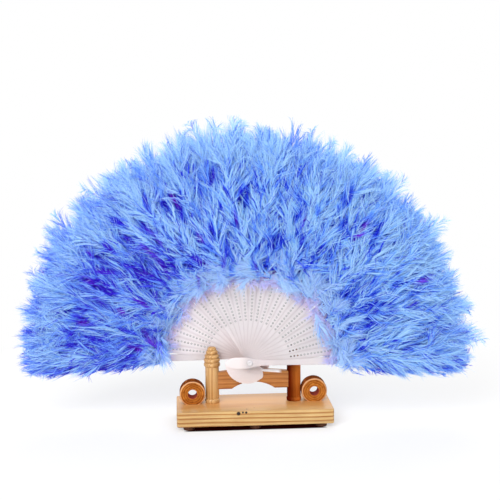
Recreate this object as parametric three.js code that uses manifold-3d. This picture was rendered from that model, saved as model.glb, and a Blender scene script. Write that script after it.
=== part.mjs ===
// A folding fan of soft feathers on pierced sticks, spread on its small turned wooden stand.
// Millimetres, +Z up. The stand's feet rest on z = 0, the fan spreads in the XZ plane and the
// front of the object faces -Y. The origin is under the rivet, in the middle of the open fan.

import * as THREE from "three";
import { mergeVertices } from "three/addons/utils/BufferGeometryUtils.js";
import Module from "manifold-3d";

const wasm = await Module();
wasm.setup();

// Clearances
const fit = 0.3; // between a piece and the piece that holds it
const stickGap = 0.3; // between neighbouring sticks on the rivet
const overrun = 5; // how far a cutting tool reaches past what it cuts

// Fan as a whole
const stickCount = 26; // two plain guards and the pierced sticks between them
const spread = Math.PI; // angle between the two guards when the fan is open
const pitch = spread / (stickCount - 1);
const frontStickCount = 18; // sticks that hang in front of the rail, the rest hang behind it
const pivotAboveBase = 48; // axis of the rivet above the top of the base
const pivotLeft = 5; // the rivet lies this far to the left of the stand's middle

// Pierced stick
const stickThickness = 0.65;
const stickReach = 206; // from the rivet to the pointed end under the feathers
const tailLength = 26; // from the rivet to the tip of the tail
const tailRound = 12; // length over which the tail is rounded off
const headHalfWidth = 6;
const neckHalfWidth = 3.2;
const bladeHalfWidth = 4.9;
const neckStart = 15;
const neckEnd = 38;
const bladeStart = 70;
const tipLength = 5; // length of the blade's pointed end
const holeCount = 12;
const holeRadius = 1.2;
const holePitch = 3.7;
const firstHoleAt = 45;

// Guard
const guardThickness = 1.6;
const guardHalfWidth = 3.75;

// Rivet
const pinRadius = 1.8;
const rivetHeadRadius = 3.3;
const rivetHeadThickness = 1.25;
const rivetDimpleRadius = 1.2;
const rivetDimpleDepth = 0.5;
const rivetEdge = 0.4;

// Plume
const plumeStart = 86; // inner edge of the feathers, from the rivet
const plumeReach = 250; // tips of the feathers, from the rivet
const plumeGap = 0.3; // between neighbouring plumes of the open fan
const plumeHalfThickness = 10.4;
const plumeTipHalfWidth = 2.2;

// Base board
const baseLength = 168;
const baseDepth = 70;
const baseThickness = 16;
const baseCornerRadius = 3;
const baseEdge = 1; // the chamfer round the top and the underside
const footRadius = 6.5;
const footHeight = 4.5;
const footEndInset = 13; // from the ends of the base to a foot's centre
const footSideInset = 10; // from the front and back of the base to a foot's centre
const footEmbed = 2;

// Posts
const standPlane = 5; // the middle plane of posts, rail and wheels, behind the middle of the base
const postHeight = 61.5;
const shaftRadius = 7.5;
const collarRadius = 8.1;
const collarHeight = 4.5;
const finialHeight = 22.5;
const finialRadius = 8.8;
const spigotRadius = 4;
const spigotLength = 9;

// Rail
const railThickness = 8;
const railBottom = 15; // above the base
const railEndTop = 34; // above the base
const railShoulderTop = 36; // above the base, where the crest begins
const railShoulderAt = 17; // from the middle of the crest
const crestBelowPin = 1; // the crest's top lies this far under the rivet's axis
const crestHalfWidth = 5;
const archHalfWidth = 23.5;
const archRise = 7.5;
const mortiseDepth = 3;

// Wheels
const wheelRadius = 14;
const wheelThickness = 16;
const wheelHoleRadius = 5;
const wheelChamfer = 1.5;
const wheelInset = 3.5; // from the end of the base to the rim
const wheelCentreHeight = 11.5; // above the base, so the rim is cut flat below it

// Facets
const curveSteps = 4;
const holeSides = 4;
const postSides = 14;
const wheelSides = 20;
const rivetSides = 12;
const spigotSides = 12;

// Places that follow from the sizes above
const baseTop = footHeight + baseThickness;
const pivotHeight = baseTop + pivotAboveBase;
const railFront = standPlane - railThickness / 2;
const railBack = standPlane + railThickness / 2;
const stickStep = stickThickness + stickGap;
const boreRadius = (pinRadius + fit) / Math.cos(Math.PI / (2 * curveSteps));
const wheelAt = baseLength / 2 - wheelInset - wheelRadius; // from the middle of the base
const postAt = wheelAt - wheelRadius - fit - shaftRadius;

function material(color, roughness, metalness = 0) {
  return new THREE.MeshStandardMaterial({ color, roughness, metalness });
}

const finishes = {
  stick: () => material(0xebe6e8, 0.35),
  rivet: () => material(0xa9a9ae, 0.35, 1),
  feather: () => material(0x64a0fa, 0.9),
  pine: () => material(0xf0c88c, 0.55),
  strawWood: () => material(0xd7af78, 0.5),
  darkWood: () => material(0x9c5a24, 0.45),
  brownWood: () => material(0xb9692a, 0.5),
};

// A closed geometry as a solid that can be cut or joined, and back again.
function solidFrom(geometry) {
  const bare = geometry.clone();
  bare.deleteAttribute("normal");
  bare.deleteAttribute("uv");
  const merged = mergeVertices(bare);
  return new wasm.Manifold(
    new wasm.Mesh({
      numProp: 3,
      vertProperties: new Float32Array(merged.attributes.position.array),
      triVerts: new Uint32Array(merged.index.array),
    }),
  );
}

function geometryFrom(solid) {
  const mesh = solid.getMesh();
  return new THREE.BufferGeometry()
    .setAttribute("position", new THREE.BufferAttribute(mesh.vertProperties, 3))
    .setIndex(new THREE.BufferAttribute(mesh.triVerts, 1));
}

function cutFrom(geometry, ...tools) {
  return geometryFrom(
    tools.reduce((body, tool) => body.subtract(solidFrom(tool)), solidFrom(geometry)),
  );
}

// Joins rings of equal count into one closed skin. Each ring is convex, and the rings are
// given in order along their common axis, turning anticlockwise about it.
function loft(rings) {
  const count = rings[0].length;
  const index = [];
  const at = (ring, k) => ring * count + (k % count);
  for (let ring = 0; ring + 1 < rings.length; ring += 1) {
    for (let k = 0; k < count; k += 1) {
      index.push(at(ring, k), at(ring, k + 1), at(ring + 1, k + 1));
      index.push(at(ring, k), at(ring + 1, k + 1), at(ring + 1, k));
    }
  }
  const last = rings.length - 1;
  for (let k = 1; k + 1 < count; k += 1) {
    index.push(at(0, 0), at(0, k + 1), at(0, k));
    index.push(at(last, 0), at(last, k), at(last, k + 1));
  }
  return new THREE.BufferGeometry().setFromPoints(rings.flat()).setIndex(index);
}

function namedMesh(name, geometry, finish) {
  const mesh = new THREE.Mesh(geometry, finish);
  mesh.name = name;
  return mesh;
}

// Sticks and guards

// Half of a blade's outline, from the rounded tail past the head and neck to the far end.
function halfBlade(halfWidth) {
  const headAt = -tailLength / 4;
  const half = new THREE.Path();
  half.moveTo(-tailLength, 0);
  half.quadraticCurveTo(-tailLength, headHalfWidth, tailRound - tailLength, headHalfWidth);
  half.lineTo(headAt, headHalfWidth);
  half.bezierCurveTo(-headAt, headHalfWidth, -headAt, neckHalfWidth, neckStart, neckHalfWidth);
  half.lineTo(neckEnd, neckHalfWidth);
  half.lineTo(bladeStart, halfWidth);
  half.lineTo(stickReach - tipLength, halfWidth);
  half.lineTo(stickReach, 0);
  return half.getPoints(curveSteps);
}

function bladeShape(halfWidth) {
  const upper = halfBlade(halfWidth);
  const lower = upper.slice(1, -1).reverse();
  const shape = new THREE.Shape([...upper, ...lower.map((p) => new THREE.Vector2(p.x, -p.y))]);
  const bore = new THREE.Path();
  bore.absarc(0, 0, boreRadius, 0, 2 * Math.PI);
  shape.holes.push(bore);
  return shape;
}

// A row of holes along the middle of the blade, each with a corner towards the next.
function pierce(shape) {
  for (let k = 0; k < holeCount; k += 1) {
    const middle = new THREE.Vector2(firstHoleAt + k * holePitch, 0);
    const corner = new THREE.Vector2(holeRadius, 0);
    const corners = Array.from({ length: holeSides }, (_, side) =>
      corner.clone().rotateAround(new THREE.Vector2(), (side * 2 * Math.PI) / holeSides).add(middle),
    );
    shape.holes.push(new THREE.Path(corners));
  }
  return shape;
}

function isGuard(index) {
  return index === 0 || index === stickCount - 1;
}

function thicknessOf(index) {
  return isGuard(index) ? guardThickness : stickThickness;
}

function widthOf(index) {
  return isGuard(index) ? guardHalfWidth : bladeHalfWidth;
}

// The sticks lie one behind the other on the rivet, and the rail takes a place among them.
function frontOf(index) {
  if (index < frontStickCount) {
    const last = railFront - fit - stickThickness;
    const front = last - (frontStickCount - 1 - index) * stickStep;
    return isGuard(index) ? front + stickThickness - guardThickness : front;
  }
  return railBack + fit + (index - frontStickCount) * stickStep;
}

function middleOf(index) {
  return frontOf(index) + thicknessOf(index) / 2;
}

// A turned frame on the rivet's axis: X runs out along the stick and Z runs to the front.
function stickFrame(index) {
  const frame = new THREE.Group();
  frame.position.set(0, middleOf(index), pivotHeight);
  frame.rotation.set(Math.PI / 2, -index * pitch, 0, "YXZ");
  return frame;
}

function stickGeometry(index) {
  const shape = bladeShape(widthOf(index));
  const depth = thicknessOf(index);
  const geometry = new THREE.ExtrudeGeometry(isGuard(index) ? shape : pierce(shape), {
    depth,
    bevelEnabled: false,
    curveSegments: curveSteps,
  });
  return geometry.translate(0, 0, -depth / 2);
}

// Plumes

// How far out along a plume each of its rings stands, and how thick and wide it is there.
const plumeRings = [
  { alongShare: 0, thickShare: 0.3, widthShare: 1 },
  { alongShare: 0.13, thickShare: 0.75, widthShare: 1 },
  { alongShare: 0.4, thickShare: 1, widthShare: 1 },
  { alongShare: 0.66, thickShare: 0.88, widthShare: 1 },
  { alongShare: 0.85, thickShare: 0.6, widthShare: 0.9 },
  { alongShare: 0.95, thickShare: 0.36, widthShare: 0.6 },
  { alongShare: 1, thickShare: 0.12, widthShare: 0 },
];

// One section of a plume, as shares of its half width and half thickness.
const plumeSectionShares = [
  [1, 0],
  [0.78, 0.72],
  [0, 1],
  [-0.78, 0.72],
  [-1, 0],
  [-0.78, -0.72],
  [0, -1],
  [0.78, -0.72],
];

// A puffed wedge of feather round the outer blade of its stick, ending in a soft point.
function plumeGeometry(index) {
  const rings = plumeRings.map(({ alongShare, thickShare, widthShare }) => {
    const out = plumeStart + alongShare * (plumeReach - plumeStart);
    const wedge = out * Math.tan(pitch / 2) - plumeGap / 2;
    const halfWidth = plumeTipHalfWidth + widthShare * (wedge - plumeTipHalfWidth);
    return plumeSectionShares.map(
      ([across, proud]) =>
        new THREE.Vector3(out, across * halfWidth, proud * thickShare * plumeHalfThickness),
    );
  });
  const slot = new THREE.BoxGeometry(
    stickReach + fit - plumeStart + overrun,
    2 * (widthOf(index) + fit),
    thicknessOf(index) + 2 * fit,
  );
  slot.translate((stickReach + fit + plumeStart - overrun) / 2, 0, 0);
  return cutFrom(loft(rings), slot);
}

// Rivet

// A pin with a dimpled head at each end, turned about the Y axis.
function rivetGeometry() {
  const front = frontOf(0) - fit;
  const back = frontOf(stickCount - 1) + guardThickness + fit;
  const headHalf = (from, way) => {
    const face = from + way * rivetHeadThickness;
    return [
      [pinRadius, from],
      [rivetHeadRadius, from],
      [rivetHeadRadius, face - way * rivetEdge],
      [rivetHeadRadius - rivetEdge, face],
      [rivetDimpleRadius + rivetEdge, face],
      [rivetDimpleRadius, face - way * rivetDimpleDepth],
      [0, face - way * rivetDimpleDepth],
    ];
  };
  const profile = [...headHalf(front, -1).reverse(), ...headHalf(back, 1)];
  const points = profile.map(([radius, y]) => new THREE.Vector2(radius, y));
  return new THREE.LatheGeometry(points, rivetSides).translate(0, 0, pivotHeight);
}

// Base

function roundedRing(inset, height) {
  const corner = baseCornerRadius - inset;
  const shape = new THREE.Path();
  const x = baseLength / 2 - inset - corner;
  const y = baseDepth / 2 - inset - corner;
  const quarter = Math.PI / 2;
  shape.absarc(x, y, corner, 0, quarter);
  shape.absarc(-x, y, corner, quarter, 2 * quarter);
  shape.absarc(-x, -y, corner, 2 * quarter, 3 * quarter);
  shape.absarc(x, -y, corner, 3 * quarter, 4 * quarter);
  return shape.getPoints(curveSteps).map((p) => new THREE.Vector3(p.x, p.y, height));
}

// A plain board with rounded corners and eased edges.
function baseBoard() {
  return loft([
    roundedRing(baseEdge, footHeight),
    roundedRing(0, footHeight + baseEdge),
    roundedRing(0, baseTop - baseEdge),
    roundedRing(baseEdge, baseTop),
  ]);
}

function footGeometry(x, y) {
  const height = footHeight + footEmbed;
  return new THREE.CylinderGeometry(footRadius, footRadius, height, 2 * curveSteps)
    .rotateX(Math.PI / 2)
    .translate(x, y, height / 2);
}

function spigotHole(x) {
  const depth = spigotLength + fit + overrun;
  return new THREE.CylinderGeometry(spigotRadius + fit, spigotRadius + fit, depth, spigotSides)
    .rotateX(Math.PI / 2)
    .translate(x, standPlane, baseTop + overrun - depth / 2);
}

function baseGeometry() {
  const footX = baseLength / 2 - footEndInset;
  const footY = baseDepth / 2 - footSideInset;
  let body = solidFrom(baseBoard());
  for (const x of [-footX, 0, footX]) {
    for (const y of [-footY, footY]) {
      body = body.add(solidFrom(footGeometry(x, y)));
    }
  }
  for (const side of [-1, 1]) {
    body = body.subtract(solidFrom(spigotHole(side * postAt)));
  }
  return geometryFrom(body);
}

// Posts

// Bands of the turned finial from its foot to its cap, as shares of its height and radius.
const finialBands = [
  { fromShare: 0.06, toShare: 0.27, radiusShare: 1 },
  { fromShare: 0.27, toShare: 0.46, radiusShare: 1 },
  { fromShare: 0.46, toShare: 0.68, radiusShare: 0.87 },
  { fromShare: 0.68, toShare: 1, radiusShare: 0.7 },
];
const finialGrooveShare = 0.86; // a groove's radius over its band's
const finialSwellShare = 0.2; // how far up its band the swell reaches full radius
const finialCapShare = 0.45; // radius of the flat top over the finial's

function postProfile() {
  const finialStart = postHeight - finialHeight;
  const collarEdge = collarRadius - shaftRadius;
  const points = [
    [0, -spigotLength],
    [spigotRadius, -spigotLength],
    [spigotRadius, fit],
    [collarRadius - collarEdge / 2, fit],
    [collarRadius, fit + collarEdge],
    [collarRadius, collarHeight - collarEdge],
    [shaftRadius, collarHeight],
    [shaftRadius, finialStart],
  ];
  for (const shape of finialBands) {
    const { fromShare, toShare, radiusShare } = shape;
    const radius = radiusShare * finialRadius;
    const from = finialStart + fromShare * finialHeight;
    const band = (toShare - fromShare) * finialHeight;
    points.push([radius * finialGrooveShare, from]);
    points.push([radius, from + band * finialSwellShare]);
    if (shape !== finialBands.at(-1)) {
      points.push([radius, from + band * (1 - finialSwellShare)]);
    }
  }
  points.push([finialCapShare * finialRadius, postHeight]);
  points.push([0, postHeight]);
  return points.map(([radius, height]) => new THREE.Vector2(radius, height));
}

// The rail's end is let into the post, and the mortise leaves the fit round it.
function postGeometry(side) {
  const x = side * postAt;
  const turned = new THREE.LatheGeometry(postProfile(), postSides)
    .rotateX(Math.PI / 2)
    .translate(x, standPlane, baseTop);
  const reach = overrun + shaftRadius;
  const mortise = new THREE.BoxGeometry(
    reach,
    railThickness + 2 * fit,
    railEndTop - railBottom + 2 * fit,
  );
  const innerFace = postAt - shaftRadius + mortiseDepth + fit;
  mortise.translate(side * (innerFace - reach / 2), standPlane, baseTop + (railBottom + railEndTop) / 2);
  return cutFrom(turned, mortise);
}

// Rail

// The rail's face: an arch below its middle, and above it a crest whose notch takes the rivet.
function railShape() {
  const end = postAt - shaftRadius + mortiseDepth;
  const crest = pivotAboveBase - crestBelowPin;
  const notchRadius = pinRadius + fit;
  const notchAngle = Math.asin(crestBelowPin / notchRadius);
  const shape = new THREE.Shape();
  shape.moveTo(-end, railBottom);
  shape.lineTo(-archHalfWidth, railBottom);
  const archRadius = (archHalfWidth ** 2 + archRise ** 2) / (2 * archRise);
  const archAngle = Math.asin(archHalfWidth / archRadius);
  const archCentre = railBottom + archRise - archRadius;
  const up = Math.PI / 2;
  shape.absarc(0, archCentre, archRadius, up + archAngle, up - archAngle, true);
  shape.lineTo(end, railBottom);
  shape.lineTo(end, railEndTop);
  const insidePost = postAt - shaftRadius - fit;
  shape.lineTo(insidePost, railEndTop);
  const shoulder = (way) => way * railShoulderAt - pivotLeft;
  const top = (way) => way * crestHalfWidth - pivotLeft;
  const bend = (way) => (shoulder(way) + top(way)) / 2;
  shape.lineTo(shoulder(1), railShoulderTop);
  shape.bezierCurveTo(bend(1), railShoulderTop, bend(1), crest, top(1), crest);
  shape.absarc(-pivotLeft, pivotAboveBase, notchRadius, -notchAngle, notchAngle - Math.PI, true);
  shape.lineTo(top(-1), crest);
  shape.bezierCurveTo(bend(-1), crest, bend(-1), railShoulderTop, shoulder(-1), railShoulderTop);
  shape.lineTo(-insidePost, railEndTop);
  shape.lineTo(-end, railEndTop);
  shape.closePath();
  return shape;
}

function railGeometry() {
  return new THREE.ExtrudeGeometry(railShape(), {
    depth: railThickness,
    bevelEnabled: false,
    curveSegments: curveSteps,
  })
    .rotateX(Math.PI / 2)
    .translate(0, railBack, baseTop);
}

// Wheels

// A bored disc, turned about the Y axis and cut flat where it stands on the base.
function wheelGeometry(side) {
  const half = wheelThickness / 2;
  const profile = [
    [wheelHoleRadius, -half],
    [wheelRadius - wheelChamfer, -half],
    [wheelRadius, wheelChamfer - half],
    [wheelRadius, half - wheelChamfer],
    [wheelRadius - wheelChamfer, half],
    [wheelHoleRadius, half],
    [wheelHoleRadius, -half],
  ].map(([radius, y]) => new THREE.Vector2(radius, y));
  const x = side * wheelAt;
  const disc = new THREE.LatheGeometry(profile, wheelSides)
    .rotateY(Math.PI / wheelSides)
    .translate(x, standPlane, baseTop + wheelCentreHeight);
  const below = new THREE.BoxGeometry(
    2 * wheelRadius + overrun,
    wheelThickness + overrun,
    wheelRadius,
  ).translate(x, standPlane, baseTop + fit - wheelRadius / 2);
  return cutFrom(disc, below);
}

// Assembly

// The stand is modelled about its own middle, and set to the right of the rivet.
function addStand(group) {
  const stand = new THREE.Group();
  stand.position.x = pivotLeft;
  stand.add(namedMesh("base_board", baseGeometry(), finishes.pine()));
  stand.add(namedMesh("left_post", postGeometry(-1), finishes.strawWood()));
  stand.add(namedMesh("right_post", postGeometry(1), finishes.darkWood()));
  stand.add(namedMesh("cross_rail", railGeometry(), finishes.brownWood()));
  stand.add(namedMesh("left_wheel", wheelGeometry(-1), finishes.brownWood()));
  stand.add(namedMesh("right_wheel", wheelGeometry(1), finishes.brownWood()));
  group.add(stand);
}

function stickName(index) {
  if (index === 0) {
    return "front_guard";
  }
  return index === stickCount - 1 ? "rear_guard" : `stick_${String(index).padStart(2, "0")}`;
}

function addFan(group) {
  group.add(namedMesh("pivot_rivet", rivetGeometry(), finishes.rivet()));
  for (let index = 0; index < stickCount; index += 1) {
    const frame = stickFrame(index);
    frame.add(namedMesh(stickName(index), stickGeometry(index), finishes.stick()));
    const plume = `plume_${String(index).padStart(2, "0")}`;
    frame.add(namedMesh(plume, plumeGeometry(index), finishes.feather()));
    group.add(frame);
  }
}

const featherFan = new THREE.Group();
addStand(featherFan);
addFan(featherFan);

export default featherFan;
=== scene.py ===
from collections import namedtuple
from math import atan2, cos, exp, pi, radians, sin, sqrt

import bpy
import bmesh
import numpy as np
from mathutils import Matrix, Vector


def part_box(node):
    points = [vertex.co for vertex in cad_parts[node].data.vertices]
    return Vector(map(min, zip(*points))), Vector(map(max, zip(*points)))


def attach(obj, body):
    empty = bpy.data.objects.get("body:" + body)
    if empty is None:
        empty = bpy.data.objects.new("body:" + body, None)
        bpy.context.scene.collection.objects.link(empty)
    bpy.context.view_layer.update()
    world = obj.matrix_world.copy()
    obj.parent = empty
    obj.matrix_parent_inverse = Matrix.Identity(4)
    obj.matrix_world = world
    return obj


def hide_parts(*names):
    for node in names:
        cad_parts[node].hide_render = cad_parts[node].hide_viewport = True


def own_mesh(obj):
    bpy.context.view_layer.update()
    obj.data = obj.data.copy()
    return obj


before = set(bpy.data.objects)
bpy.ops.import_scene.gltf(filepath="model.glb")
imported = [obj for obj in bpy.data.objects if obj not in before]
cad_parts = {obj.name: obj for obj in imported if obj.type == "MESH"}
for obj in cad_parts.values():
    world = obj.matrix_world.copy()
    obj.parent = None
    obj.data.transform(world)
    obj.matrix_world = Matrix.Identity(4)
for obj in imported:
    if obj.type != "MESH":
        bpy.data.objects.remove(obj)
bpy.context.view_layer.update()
mm = 0.001

# Camera
# It stands a little to the left of the fan, level with the tips of the feathers, and looks
# slightly down on the fan through a short telephoto lens.
lens_mm = 78
camera_place = Vector((-0.0733, -1.1474, 0.3469))
camera_yaw, camera_pitch, camera_roll = -0.0662, -0.137, -0.0104

lens = bpy.data.cameras.new("camera")
lens.sensor_width = 36
lens.lens = lens_mm
lens.clip_end = 50
camera = bpy.data.objects.new("camera", lens)
camera.matrix_world = (
    Matrix.Translation(camera_place)
    @ Matrix.Rotation(camera_yaw, 4, "Z")
    @ Matrix.Rotation(pi / 2 + camera_pitch, 4, "X")
    @ Matrix.Rotation(camera_roll, 4, "Z")
)
bpy.context.scene.collection.objects.link(camera)
bpy.context.scene.camera = camera
bpy.context.scene.view_settings.view_transform = "Standard"

# Table and light
# A wide white table top under soft light from large panels. The camera sees the table and the
# air behind it as white, and the table keeps the soft shadow of the stand. A dark shadow is
# painted on the table under the board.
shade_scale, shade_move = (13, 28, 1), (-0.065, 0, 0)  # carry the painted shadow under the board to -1 to 1
# the painted shadow's colour and where it starts to fade out, and the table's white
shade_from, shade_colour, table_white = 0.93, (0.02, 0.001, 0.0007), 0.93
glow_near, glow_far, glow_least = 0.06, 0.5, 0.4  # from where to where, in metres, plain white comes in
air_light, table_half, lit_middle = 0.62, 12, Vector((0, 0, 0.15))


def new_material(name):
    """A node material that holds only its output."""
    made = bpy.data.materials.new(name)
    made.use_nodes = True
    made.node_tree.nodes.clear()
    return made, made.node_tree, made.node_tree.nodes.new("ShaderNodeOutputMaterial")


def feed(tree, entry, term):
    """Gives an input a socket or a plain value."""
    if isinstance(term, bpy.types.NodeSocket):
        tree.links.new(term, entry)
    else:
        entry.default_value = term


def add_node(tree, kind, **terms):
    """A shader node whose inputs are given by name, with _ for a space."""
    made = tree.nodes.new(kind)
    for name, term in terms.items():
        feed(tree, made.inputs[name.replace("_", " ")], term)
    return made


def object_place(tree):
    return tree.nodes.new("ShaderNodeTexCoord").outputs["Object"]


def moved(tree, place, by=(0, 0, 0), scale=(1, 1, 1)):
    """A place scaled along each axis and then moved, as an output."""
    laid = add_node(tree, "ShaderNodeMapping", Vector=place, Location=by, Scale=scale)
    return laid.outputs["Vector"]


def distance(tree, place, spot=(0, 0, 0)):
    """How far a place lies from a spot, as an output."""
    made = tree.nodes.new("ShaderNodeVectorMath")
    made.operation = "DISTANCE"
    feed(tree, made.inputs[0], place)
    feed(tree, made.inputs[1], spot)
    return made.outputs["Value"]


def axes(tree, place):
    """The three numbers of a place, as outputs."""
    return tuple(add_node(tree, "ShaderNodeSeparateXYZ", Vector=place).outputs)


def calculate(tree, operation, *terms):
    """A maths node on sockets or plain numbers, as an output."""
    made = tree.nodes.new("ShaderNodeMath")
    made.operation = operation
    for entry, term in zip(made.inputs, terms):
        feed(tree, entry, term)
    return made.outputs[0]


def product(tree, first, *others):
    """Sockets and plain numbers multiplied, as an output."""
    for other in others:
        first = calculate(tree, "MULTIPLY", first, other)
    return first


def carried(tree, value, start, end, low=0, high=1, kind="SMOOTHSTEP"):
    """A number carried from one range to another, as an output."""
    made = add_node(
        tree, "ShaderNodeMapRange", Value=value, From_Min=start, From_Max=end, To_Min=low, To_Max=high
    )
    made.interpolation_type = kind
    return made.outputs["Result"]


def graded(tree, factor, *stops):
    """A colour ramp over (position, colour) stops, as an output."""
    made = add_node(tree, "ShaderNodeValToRGB", Fac=factor)
    marks = made.color_ramp.elements
    marks[0].position, marks[0].color = stops[0][0], (*stops[0][1], 1)
    marks[-1].position, marks[-1].color = stops[-1][0], (*stops[-1][1], 1)
    for position, colour in stops[1:-1]:
        marks.new(position).color = (*colour, 1)
    return made.outputs["Color"]


def mixed_colour(tree, blend, factor, first, second):
    """Two colours, sockets or plain, blended by a factor, as an output."""
    made = tree.nodes.new("ShaderNodeMix")
    made.data_type = "RGBA"
    made.blend_type = blend
    feed(tree, made.inputs[0], factor)
    for entry, colour in ((made.inputs[6], first), (made.inputs[7], second)):
        feed(tree, entry, (*colour, 1) if isinstance(colour, tuple) else colour)
    return made.outputs[2]


def show(tree, output, shader):
    tree.links.new(shader.outputs[0], output.inputs["Surface"])


def show_mixed(tree, output, factor, first, second):
    """Shows two shaders blended by a factor."""
    mixed = tree.nodes.new("ShaderNodeMixShader")
    for entry, term in zip(mixed.inputs, (factor, first.outputs[0], second.outputs[0])):
        feed(tree, entry, term)
    show(tree, output, mixed)


def put_in_scene(mesh, name):
    piece = bpy.data.objects.new(name, mesh)
    bpy.context.scene.collection.objects.link(piece)
    return piece


def paint_table():
    """Lit matte white round the stand, plain white further off and a painted shadow under the board."""
    made, tree, output = new_material("white_table")
    place = object_place(tree)
    x, y = axes(tree, moved(tree, place, shade_move, shade_scale))[:2]
    edge = calculate(tree, "MAXIMUM", calculate(tree, "ABSOLUTE", x), calculate(tree, "ABSOLUTE", y))
    shade = graded(tree, edge, (shade_from, shade_colour), (1, (1, 1, 1)))
    lit = mixed_colour(tree, "MULTIPLY", 1, shade, (table_white,) * 3)
    matte = add_node(tree, "ShaderNodeBsdfDiffuse", Color=lit)
    glow = add_node(tree, "ShaderNodeEmission", Color=shade, Strength=1)
    fading = carried(tree, distance(tree, place), glow_near, glow_far, glow_least, 1, "LINEAR")
    seen = tree.nodes.new("ShaderNodeLightPath").outputs["Is Camera Ray"]
    show_mixed(tree, output, product(tree, seen, fading), matte, glow)
    return made


def lay_table():
    bm = bmesh.new()
    bmesh.ops.create_grid(bm, x_segments=1, y_segments=1, size=table_half)
    mesh = bpy.data.meshes.new("table")
    bm.to_mesh(mesh)
    table = put_in_scene(mesh, "table")
    mesh.materials.append(paint_table())


def light_air():
    """Soft light from all round, seen and mirrored as plain white."""
    world = bpy.data.worlds.new("air")
    world.use_nodes = True
    tree = world.node_tree
    tree.nodes.clear()
    output = tree.nodes.new("ShaderNodeOutputWorld")
    lit = add_node(tree, "ShaderNodeBackground", Color=(1, 1, 1, 1), Strength=air_light)
    white = add_node(tree, "ShaderNodeBackground", Color=(1, 1, 1, 1), Strength=1)
    path = tree.nodes.new("ShaderNodeLightPath").outputs
    either = calculate(tree, "MAXIMUM", path["Is Camera Ray"], path["Is Glossy Ray"])
    show_mixed(tree, output, either, lit, white)
    bpy.context.scene.world = world


def hang_panel(name, place, size, watts):
    panel = bpy.data.lights.new(name, "AREA")
    panel.shape = "SQUARE"
    panel.size = size
    panel.energy = watts
    held = put_in_scene(panel, name)
    held.location = place
    held.rotation_euler = (lit_middle - Vector(place)).to_track_quat("-Z", "Y").to_euler()


lay_table()
light_air()
hang_panel("key_panel", (-0.8, -1.5, 1.1), 1.0, 30)
hang_panel("fill_panel", (1.3, -1.2, 0.9), 1.2, 6)
hang_panel("rear_panel", (0.3, 1.4, 1.4), 1.2, 12)

# Base board and feet
# A sawn and varnished pine board with eased edges, whose growth rings run along its front as
# stripes, with a few pin knots. Small brown felt buttons are glued under it as feet, their
# brown painted extra dark as shade under the board.
stand_middle = 5 * mm  # the stand lies this far to the right of the rivet
board_length, board_depth, board_thickness = 168 * mm, 70 * mm, 16 * mm
foot_height, foot_radius, foot_edge = 4.5 * mm, 6.5 * mm, 0.3 * mm
foot_end_inset, foot_side_inset = 13 * mm, 10 * mm
board_top = foot_height + board_thickness
board_corner, board_edge = 3 * mm, 1.1 * mm
bump_share, coat_roughness = 0.3, 0.09
knot_colour = (0.012, 0.003, 0.001)
# a painted highlight along the rail's top front edge
highlight_colour, highlight_share = (0.98, 0.96, 0.95), 0.95
# the board's top is plainer than its front and tinted warmer by a painted reflection in its varnish, most of
# all from mid depth on
top_plainness, top_reflection_tint, top_reflection_from, top_reflection_full = 0.75, (1.18, 0.93, 0.72), -32 * mm, -12 * mm


def mesh_piece(bm, name, smooth_below=40):
    """Closes a bmesh as an object whose edges stay sharp above that angle in degrees."""
    mesh = bpy.data.meshes.new(name)
    bm.to_mesh(mesh)
    bm.free()
    mesh.shade_smooth()
    mesh.set_sharp_from_angle(angle=radians(smooth_below))
    return put_in_scene(mesh, name)


def dress(piece, material, body, slot, *nodes):
    """Gives a piece its finish, its body and the CAD nodes that it stands for."""
    if not piece.data.materials:
        piece.data.materials.append(material)
    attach(piece, body)
    if nodes:
        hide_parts(*nodes)


def noise(tree, place, scale, stretch=(1, 1, 1), detail=3.0, rough=0.5):
    """Noise on a place stretched by a share along each axis, as an output."""
    laid = moved(tree, place, scale=stretch)
    made = add_node(
        tree, "ShaderNodeTexNoise", Vector=laid, Scale=scale, Detail=detail, Roughness=rough
    )
    return made.outputs["Fac"]


def varnish(tree, output, colour, worn, relief, gloss, depth, shine=0.25):
    """Shows a varnished surface with its roughness and its relief."""
    roughness = carried(tree, worn, 0.3, 0.7, 0.36, 0.55)
    bump = add_node(tree, "ShaderNodeBump", Strength=bump_share, Distance=depth, Height=relief)
    show(tree, output, add_node(
        tree, "ShaderNodeBsdfPrincipled", Base_Color=colour, Roughness=roughness, Specular_IOR_Level=shine,
        Coat_Weight=gloss, Coat_Roughness=coat_roughness, Normal=bump.outputs["Normal"],
    ))


def lengthwise(along, share):
    """A scale of that share along one axis and of 1 across it."""
    return [share if axis == along else 1.0 for axis in range(3)]


def ring_phase(tree, place, heart, along, gap, waver, scale):
    """How far each point lies between one growth ring and the next, from 0 to 1."""
    across = lengthwise(along, 0.0)
    from_heart = moved(tree, place, [-h * c for h, c in zip(heart, across)], across)
    wavy = product(tree, noise(tree, place, scale, lengthwise(along, 0.22)), waver)
    out = calculate(tree, "ADD", distance(tree, from_heart), wavy)
    return calculate(tree, "FRACT", calculate(tree, "DIVIDE", out, gap))


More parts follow.
